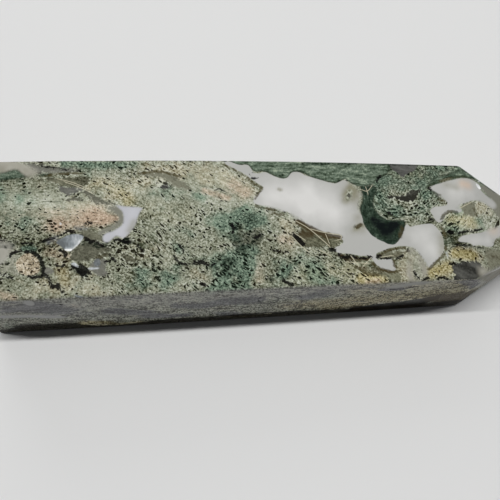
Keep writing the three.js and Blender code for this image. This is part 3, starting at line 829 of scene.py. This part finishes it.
# Cracks and hollows: the moss never closed up there, so they look nearly black, with soot and brown
# iron stain around them.
cracks = veins("cracks", [
    (0.16, [-3.5, 10.5, -4.1, 10.2, -4.2, 9.6, -3.4, 9.2, -2.6, 9.4], [-54, -2, -47.6, -2.5], [-36.4, -1.2,
     -35.4, -2], [-18, -9, -17, -9.9, -15.4, -10], [12.2, -10.6, 13, -10.2, 14.6, -10.2], [34.8, -8.2,
     36.4, -8.1], [38, -5, 40.2, -5.2], [-40.2, 11.8, -36.6, 11.4], [-11, 6.9, -10, 7.2, -9, 6.5]),
    (0.2, [-47, -2.8, -44.8, -2.9], [-49.6, -8.6, -48.8, -9.2, -48, -9.4], [-50.7, -7, -50.9, -8.2,
     -50, -9], [-0.9, -5.2, 2.4, -5.7]),
    (0.24, [-43.6, -2.7, -40.5, -1.7], [-41, -1.9, -39.6, -1.3, -38.4, -0.6, -37.2, -0.8], [-35.2, -2,
     -34, -2.7], [-33.4, -2.6, -32.6, -3.4, -32, -3.7], [-40.8, -7, -39.6, -7.4, -38.8, -7.1], [-54, -9.6,
     -50.4, -9.6, -49, -9.2, -48.4, -9.8], [-35.6, 0.7, -34.8, 1, -34.2, 0.9], [-30.7, -5.6, -30, -6.4,
     -29.4, -6.8], [-31.6, -6.9, -30, -6.1], [-19, -5.9, -17.8, -7.3, -16.6, -7.6, -15.2, -7.5], [-10, -7.8,
     -9, -8.2, -8.6, -9], [13.4, -6.4, 14.8, -6.9, 16.4, -7.1, 17.4, -7], [17, -7, 18.1, -6.9], [19.4, -7.2,
     22, -7.3], [22.8, -7.4, 24, -6.7], [34.9, -2.5, 38.8, -1.7, 40, -1.2], [34.4, -4.8, 36, -4.9,
     37, -4.8], [-44, 12.8, -42, 12.2, -40, 12]),
    (0.32, [-35.2, -2.3, -34.2, -2.8, -33.6, -2.6], [-29.6, -2.5, -28.9, -2.6, -28, -3.1, -27, -3],
     [-49, -5.2, -48.4, -4.5, -47.2, -4.3], [-43.2, -9.2, -44.4, -9.4, -45.4, -9.2], [-42.6, -8.8,
     -41.9, -9.6, -41.4, -10.8], [-40.2, -11.3, -39.1, -12.5], [-36, -7.2, -34.9, -8.2, -34.3, -9],
     [-39.9, -4.3, -38.6, -5, -38.8, -5.4], [-25.6, -3.6, -24.6, -5], [-14, -11.4, -13, -11.8], [-18, -3.9,
     -17.4, -4.4, -17.2, -5.2], [1.2, -11, 2.8, -12.1], [11.8, -6.2, 12.6, -6.9, 13.6, -7], [25.8, -9.9,
     26.6, -11.3], [27.4, -11.6, 28.4, -11.2], [30.3, -11.4, 31.3, -11.2, 32, -11.6], [32.7, -8.6,
     33.8, -8.5], [29.8, 0.9, 30.3, 0.1], [30.2, 6.7, 30.6, 6.3], [20.9, 9.4, 20.2, 8.4], [22, 1.9,
     22.4, 1.4]),
    (0.4, [-46, -4.4, -44.9, -4.6, -43.3, -6.2, -42.8, -8.6, -43.4, -9.3], [-41.4, -11, -40.8, -11.4,
     -40.2, -11], [-3.8, -2.6, -2.9, -2.4], [-8, 0, -7.6, -0.8, -7.8, -1.6], [10.3, -5.3, 11.1, -5.5],
     [19.2, -7, 19.6, -6.8], [33.2, -2.2, 33.8, -2.4]), (0.44, [-37.6, -7.4, -36.6, -8.2, -35.7, -9.2]),
    (0.48, [-36, -7.5, -35.3, -8.8], [-15, -7.3, -14, -7.2, -13.3, -7.5]),
    (0.28, [-13.2, -7.8, -12, -7.9, -11.2, -7.6]), (0.56, [3.6, -2.2, 5.2, -4.1]),
], [
    (0.32, [-41.6, 11.8, -40.4, 11.6], [-34.4, 10.6, -33, 10.2], [-40.6, 21, -40.2, 20], [-27, 13,
     -25, 13.4], [12, 18.6, 13.4, 18], [21.4, 17, 24, 16.6, 27, 17.6]), (0.36, [-36.6, 9.8, -35, 9.2]),
    (0.24, [-32, 12, -30, 10.6, -29, 8]),
    (0.2, [-3.4, 14.6, -3, 16.8, -1.4, 17.6, 0.2, 16, 0.4, 13.6, -1, 12, -2.8, 12.6, -3.4, 14.6],
     [-12.4, 8.2, -11.6, 10, -10.4, 10.4, -9.4, 9.2], [4.1, 18.2, 4.4, 16, 5.3, 14]),
])
soot = field("soot", stain([
    (0.5, 0.9, [-51, -2.6, -43, -2.9, -40.6, -2], [-34.4, -2.6, -32, -3.6], [-24.4, -9.2, -23.2, -9.4],
     [1.8, -11.4, 3, -12]), (0.7, 0.8, [-41, -3.6, -39.8, -4.2]),
    (0.6, 0.8, [-42.6, -8.6, -43.6, -9.3], [30.4, -11.3, 32, -11.3]), (0.9, 0.7, [-35.6, -3, -33, -3.6]),
    (0.5, 0.7, [-51.6, -3.4, -48.6, -3.6], [22.2, 1.7], [30, 0.4, 30.8, -0.6], [-32.4, -5.7, -30, -6.2]),
    (0.9, 0.9, [-36.8, -8.2, -35.2, -9.2]), (0.6, 0.7, [-38.8, -0.8, -36, -1.2]),
    (0.6, 0.9, [-31.4, -3.4, -29.6, -2.8, -27.4, -2.8]), (0.5, 1, [-51, 10, -47, 10.5]),
    (1.5, 1.6, [-6.5, -3.5, -3.5, -2.5]), (0.7, 1.2, [-8, -0.5, -7, -0.5]), (0.5, 1.6, [-9.5, -8, -8, -10]),
    (0.6, 1.4, [-8.5, -7, -6, -6]), (0.8, 0.8, [-1.8, -10.6, -0.8, -11]),
    (0.5, 0.8, [-18, -4.6], [-12.6, -7.8], [33.4, -2.6, 33.6, -4.2]), (0.4, 0.9, [3, -7, 3.6, -8.8]),
    (0.4, 0.8, [7.6, -8.4, 8.8, -9]), (0.8, 0.7, [-27.6, -2.6, -26.6, -3.1]),
    (0.4, 0.5, [-26.7, -0.6, -25.9, -1.3]), (0.5, 0.6, [-45.6, -4.5, -43.2, -6.6]),
    (0.6, 0.6, [10.5, -5.4]), (0.8, 0.6, [34, -4.8, 38, -5.2]), (0.9, 0.5, [6, 12.26, 38, 11.47]),
    (0.4, 1, [-28, 12.5, -25.5, 12.5]),
]))
brown = field("brown", stain([
    (0.8, 0.6, [12, -6.4, 14, -7.2, 17.6, -7.2]), (0.6, 0.6, [15, -8.6, 17, -9.2, 22, -10]),
    (0.5, 0.8, [22.4, -6.6, 24.4, -6]), (1.1, 0.6, [4.5, 0.3, 8.8, -2.1, 10, -2.5]),
    (0.9, 0.6, [10, -2.5, 12.4, -2.9]), (0.8, 1, [5, -2, 6.5, -2.5]), (0.7, 0.6, [24.3, -1.2, 23.8, -3]),
    (1.1, 0.4, [15.8, -1, 16.4, -0.5]), (0.7, 0.5, [-41.4, -13.3]), (0.5, 1.2, [41, -6.5, 44, -6.5]),
    (0.6, 0.5, [-42, -2, -40.6, -3]), (0.5, 0.6, [30.6, -11, 31.6, -11.2]),
    (0.5, 0.9, [42.6, -3.4, 44.6, -3.2]), (0.5, 0.5, [-33.4, -6, -31.6, -5.6]),
], [
    (1, 3, [32, 8, 39, 9]), (0.8, 2, [34, 4, 38, 5]), (0.6, 1.8, [11, 4, 17, 5]),
    (0.4, 2, [-33, 3, -30, 4]),
]))
cleft = between(soot - growth * 0.9 - clumps * 0.6, 0.42, 0.85)
agate_colour = lay(agate_colour, tone(66, 57, 41), between(brown - growth * 0.9, 0.25, 0.8) * 0.85)
agate_colour = lay(agate_colour, tone(28, 35, 29), cleft * (0.45 + 0.4 * brim))
crack_cover = between(cracks + wobble * 0.6 + growth * 0.6 + walls * 0.9, 0.17, -0.05)
crack_colour = lay(tone(22, 20, 14), tone(46, 44, 42), between(clumps, 0.05, 0.3))
agate_colour = lay(agate_colour, crack_colour, crack_cover * 0.94)

# Needles: straw-coloured crystals that lie over the brown clefts under the milk, and in the tongue.
# They are drawn in sets, so that those in one set don't come near each other.
NEEDLE_SETS = (
    ((0.065, [4.3, 0.4, 6.7, -1.2, 10.2, -4.6], [14.2, -6.7, 15.4, -8.6]),
     (0.05, [-40.6, 9.9, -37.6, 9, -34.4, 7.5], [17.2, 6.6, 18.2, 6.3, 19.2, 7.4]),
     (0.058, [19.8, -7, 22, -6.7]),),
    ((0.058, [7, -1.2, 9.4, -1.9, 12.4, -2.5, 12.5, -3.1], [3.9, -2, 5.6, -3.3], [13.3, -7.8, 17.4, -8.2]),
     (0.065, [36, 2.6, 38.4, 4]), (0.05, [18, 7, 18.3, 5.8], [-39.2, 9.2, -36.6, 8.2, -34.2, 6.9]),),
    ((0.05, [9.7, -2.4, 10.2, -4], [11.6, -3.5, 12.4, -3.3], [8.4, -5.4, 10.4, -6.6]),
     (0.058, [3.3, -2.6, 4.8, -4.4, 6.2, -5.6], [17.8, -7.2, 16.2, -8.8]),),
)
for number, rows in enumerate(NEEDLE_SETS):
    needles = [(half, *draw(smooth(line, False), False)) for (half,), line in unrolled(rows)]
    gap = np.array([distance for _, distance, _, _ in needles])
    nearest = gap.argmin(0)
    side = np.choose(nearest, [side for _, _, side, _ in needles])
    off = field(f"needle_off_{number}", side * gap.min(0))
    half = field(f"needle_half_{number}", np.array([half for half, *_ in needles])[nearest])
    near = field(f"needle_near_{number}", gap.min(0))
    needle_cover = between(abs(off) - half, 0.06, -0.04) * between(near, 0.45, 0.3)
    agate_colour = lay(agate_colour, tone(186, 181, 158), needle_cover * 0.85)

# Flashes: flat crystal faces under the polish that throw the light back; their glints are painted
# into the colour. Each has a softness of its edge and a brightness.
flash, flash_soft, flash_bright = patches("flash", ("soft", "bright"), [
    (0.14, 0.28, [-40.6, -2.7, -38.6, -1.5, -37, -1.25, -35.6, -1.7, -36.1, -2.8, -37.8, -4.4,
     -38.8, -4.3, -39.8, -3.5]),
    (0.1, 1, [-39.2, -4.1, -38.4, -3.9, -37.8, -4.1, -37.7, -4.5, -38.6, -4.5]),
    (0.12, 0.6, [-37.8, -7, -37, -6.8, -36.3, -7.7, -36.9, -7.6]),
    (0.1, 0.7, [-34.6, -7.85, -32.8, -7.8, -32.6, -8.1, -34.4, -8.2]),
    (0.2, 0.1, [-33.6, -6.4, -32.6, -6.2, -32.5, -7.4, -33.4, -7.6]),
    (0.08, 0.9, [-40, 1.2, -39.9, 0.5, -39.6, 0.9]),
    (0.12, 0.5, [32.2, -6.3, 32.5, -6.2, 32.7, -7.2, 32.4, -7.1]),
    (0.08, 0.9, [40.1, 8.3, 40.6, 7.9, 40.9, 7.2, 40.4, 7.1, 39.9, 7.8]),
    (0.08, 0.8, [40.2, 8.7, 40.8, 8.9, 40.8, 8.5]),
    (0.15, 0.2, [-37.4, -12.8, -36, -13.2, -35.4, -13.6, -36.6, -13.5]),
])
gleam = field("gleam", stain([
    (0.5, 0.5, [-38.6, -4.3, -37.2, -4.2, -36, -2.6]), (-0.4, 0.8, [-40.4, -2.8, -39.4, -3.4]),
]))
flash_tone = flash_bright + gleam + growth * 0.4
flash_tone = flash_tone + (cloud(stretched(place, (1.6, 0.7, 1.0)), 1.3, 3.0) - 0.5) * 1.3
flash_colour = ramp(flash_tone, (98, 102, 103), (134, 140, 143), (176, 180, 182), (232, 233, 232))
# The painted glints of the flashes are laid over the colour here.
agate_colour = lay(agate_colour, flash_colour, covered(flash + wobble * 0.2, flash_soft))

# The polish: the whole stone is buffed to a gloss. The near long face was cut through darker, clearer
# stone than the top face; along its foot its colour is darkened to nearly black as painted shade.
foot = field("foot", stain([], [
    (1.3, 5, [-58, -1, 46, -1]), (0.8, 3.5, [-50, 4, -40, 3]), (-0.8, 2, [-38, 4, -35, 4]),
    (-0.4, 1, [-31.5, 2.5, -28, 3]), (-0.4, 0.7, [-11, 3.2, -5.4, 2.4, -1, 3.4]),
    (0.3, 2.5, [-26, 2, 8, 2]), (0.6, 3, [-10, 0, 40, 0]), (0.4, 2.5, [34, 1, 40, 5]),
]))
# Painted shade: the near long face darkens to nearly black towards its foot.
painted_foot_shade_cover = between(foot + layers * 1.0 - growth * 0.4, 0.3, 0.9) * near_side
agate_colour = lay(agate_colour, tone(34, 31, 20), painted_foot_shade_cover * 0.92)
COAT = 0.85
SIDE_COAT_LESS = 0.62
EDGE_COAT_LESS = 0.8
finish = agate.node_tree.nodes["Principled BSDF"]
agate.node_tree.links.new(agate_colour.socket, finish.inputs["Base Color"])
off_edge = (np.abs(places[:, 1]) - half_width(places[:, 0]) + 0.25) / 0.5
edge_wear = field("edge_wear", np.exp(-off_edge ** 2))
roughness = 0.42 + milk_cover * -0.1 + hole * 0.1
agate.node_tree.links.new(roughness.socket, finish.inputs["Roughness"])
finish.inputs["Specular IOR Level"].default_value = 0.0
coat = COAT - near_side * SIDE_COAT_LESS - edge_wear * EDGE_COAT_LESS
agate.node_tree.links.new(coat.socket, finish.inputs["Coat Weight"])
finish.inputs["Coat Roughness"].default_value = 0.03
finish.inputs["Coat IOR"].default_value = 1.5

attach(stone, "root")
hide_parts("obelisk")

# The table is plain, and the light is soft and comes from above and behind. The camera stands where the
# photographer's did, which was worked out from the edges of the stone.
CAMERA_PLACE = Vector((-6.75, -60.68, 198.81)) * MM
CAMERA_AZIMUTH = math.radians(2.08)
CAMERA_DOWN = math.radians(72.42)
CAMERA_ROLL = math.radians(-0.1)
FOCAL_PIXELS = 986.6
FRAME_PIXELS = 500

camera_data = bpy.data.cameras.new("camera")
camera_data.sensor_fit = "HORIZONTAL"
camera_data.sensor_width = 36
camera_data.lens = camera_data.sensor_width * FOCAL_PIXELS / FRAME_PIXELS
camera_data.clip_start = 0.01
camera = bpy.data.objects.new("camera", camera_data)
camera.matrix_world = (
    Matrix.Translation(CAMERA_PLACE) @ Matrix.Rotation(-CAMERA_AZIMUTH, 4, "Z")
    @ Matrix.Rotation(math.pi / 2 - CAMERA_DOWN, 4, "X") @ Matrix.Rotation(CAMERA_ROLL, 4, "Z")
)
bpy.context.scene.collection.objects.link(camera)
bpy.context.scene.camera = camera

table_mesh = bpy.data.meshes.new("table")
TABLE_REACH = 3.0
corners = [(x * TABLE_REACH, y * TABLE_REACH, 0) for x, y in ((-1, -1), (1, -1), (1, 1), (-1, 1))]
table_mesh.from_pydata(corners, [], [(0, 1, 2, 3)])
table = bpy.data.objects.new("table", table_mesh)
bpy.context.scene.collection.objects.link(table)
table_finish = bpy.data.materials.new("pale_table")
table_finish.use_nodes = True
principled = table_finish.node_tree.nodes["Principled BSDF"]
principled.inputs["Base Color"].default_value = (0.74, 0.74, 0.735, 1)
principled.inputs["Roughness"].default_value = 0.6
table_mesh.materials.append(table_finish)

world = bpy.data.worlds.new("room")
world.use_nodes = True
world.node_tree.nodes["Background"].inputs["Color"].default_value = (0.95, 0.97, 1.0, 1)
world.node_tree.nodes["Background"].inputs["Strength"].default_value = 0.07
bpy.context.scene.world = world
bpy.context.scene.view_settings.view_transform = "Standard"


def lamp(name, place, turn, reach, power):
    """A soft lamp over the table, with its turn about the table's long way and its reach both ways."""
    data = bpy.data.lights.new(name, "AREA")
    data.shape = "RECTANGLE"
    data.size, data.size_y = reach
    data.energy = power
    light = bpy.data.objects.new(name, data)
    light.location = place
    light.rotation_euler = (turn, 0, 0)
    bpy.context.scene.collection.objects.link(light)
    return light


ceiling = lamp("ceiling", (0, 0.053, 1.0), -0.053, (1.0, 0.03), 8.8)
sky = lamp("sky", (0.05, 0.67, 1.04), -0.57, (1.2, 1.2), 2.4)
lamp("window", (-0.3, 0.9, 0.6), -0.98, (0.6, 0.6), 1.4)
ceiling.visible_glossy = sky.visible_glossy = False
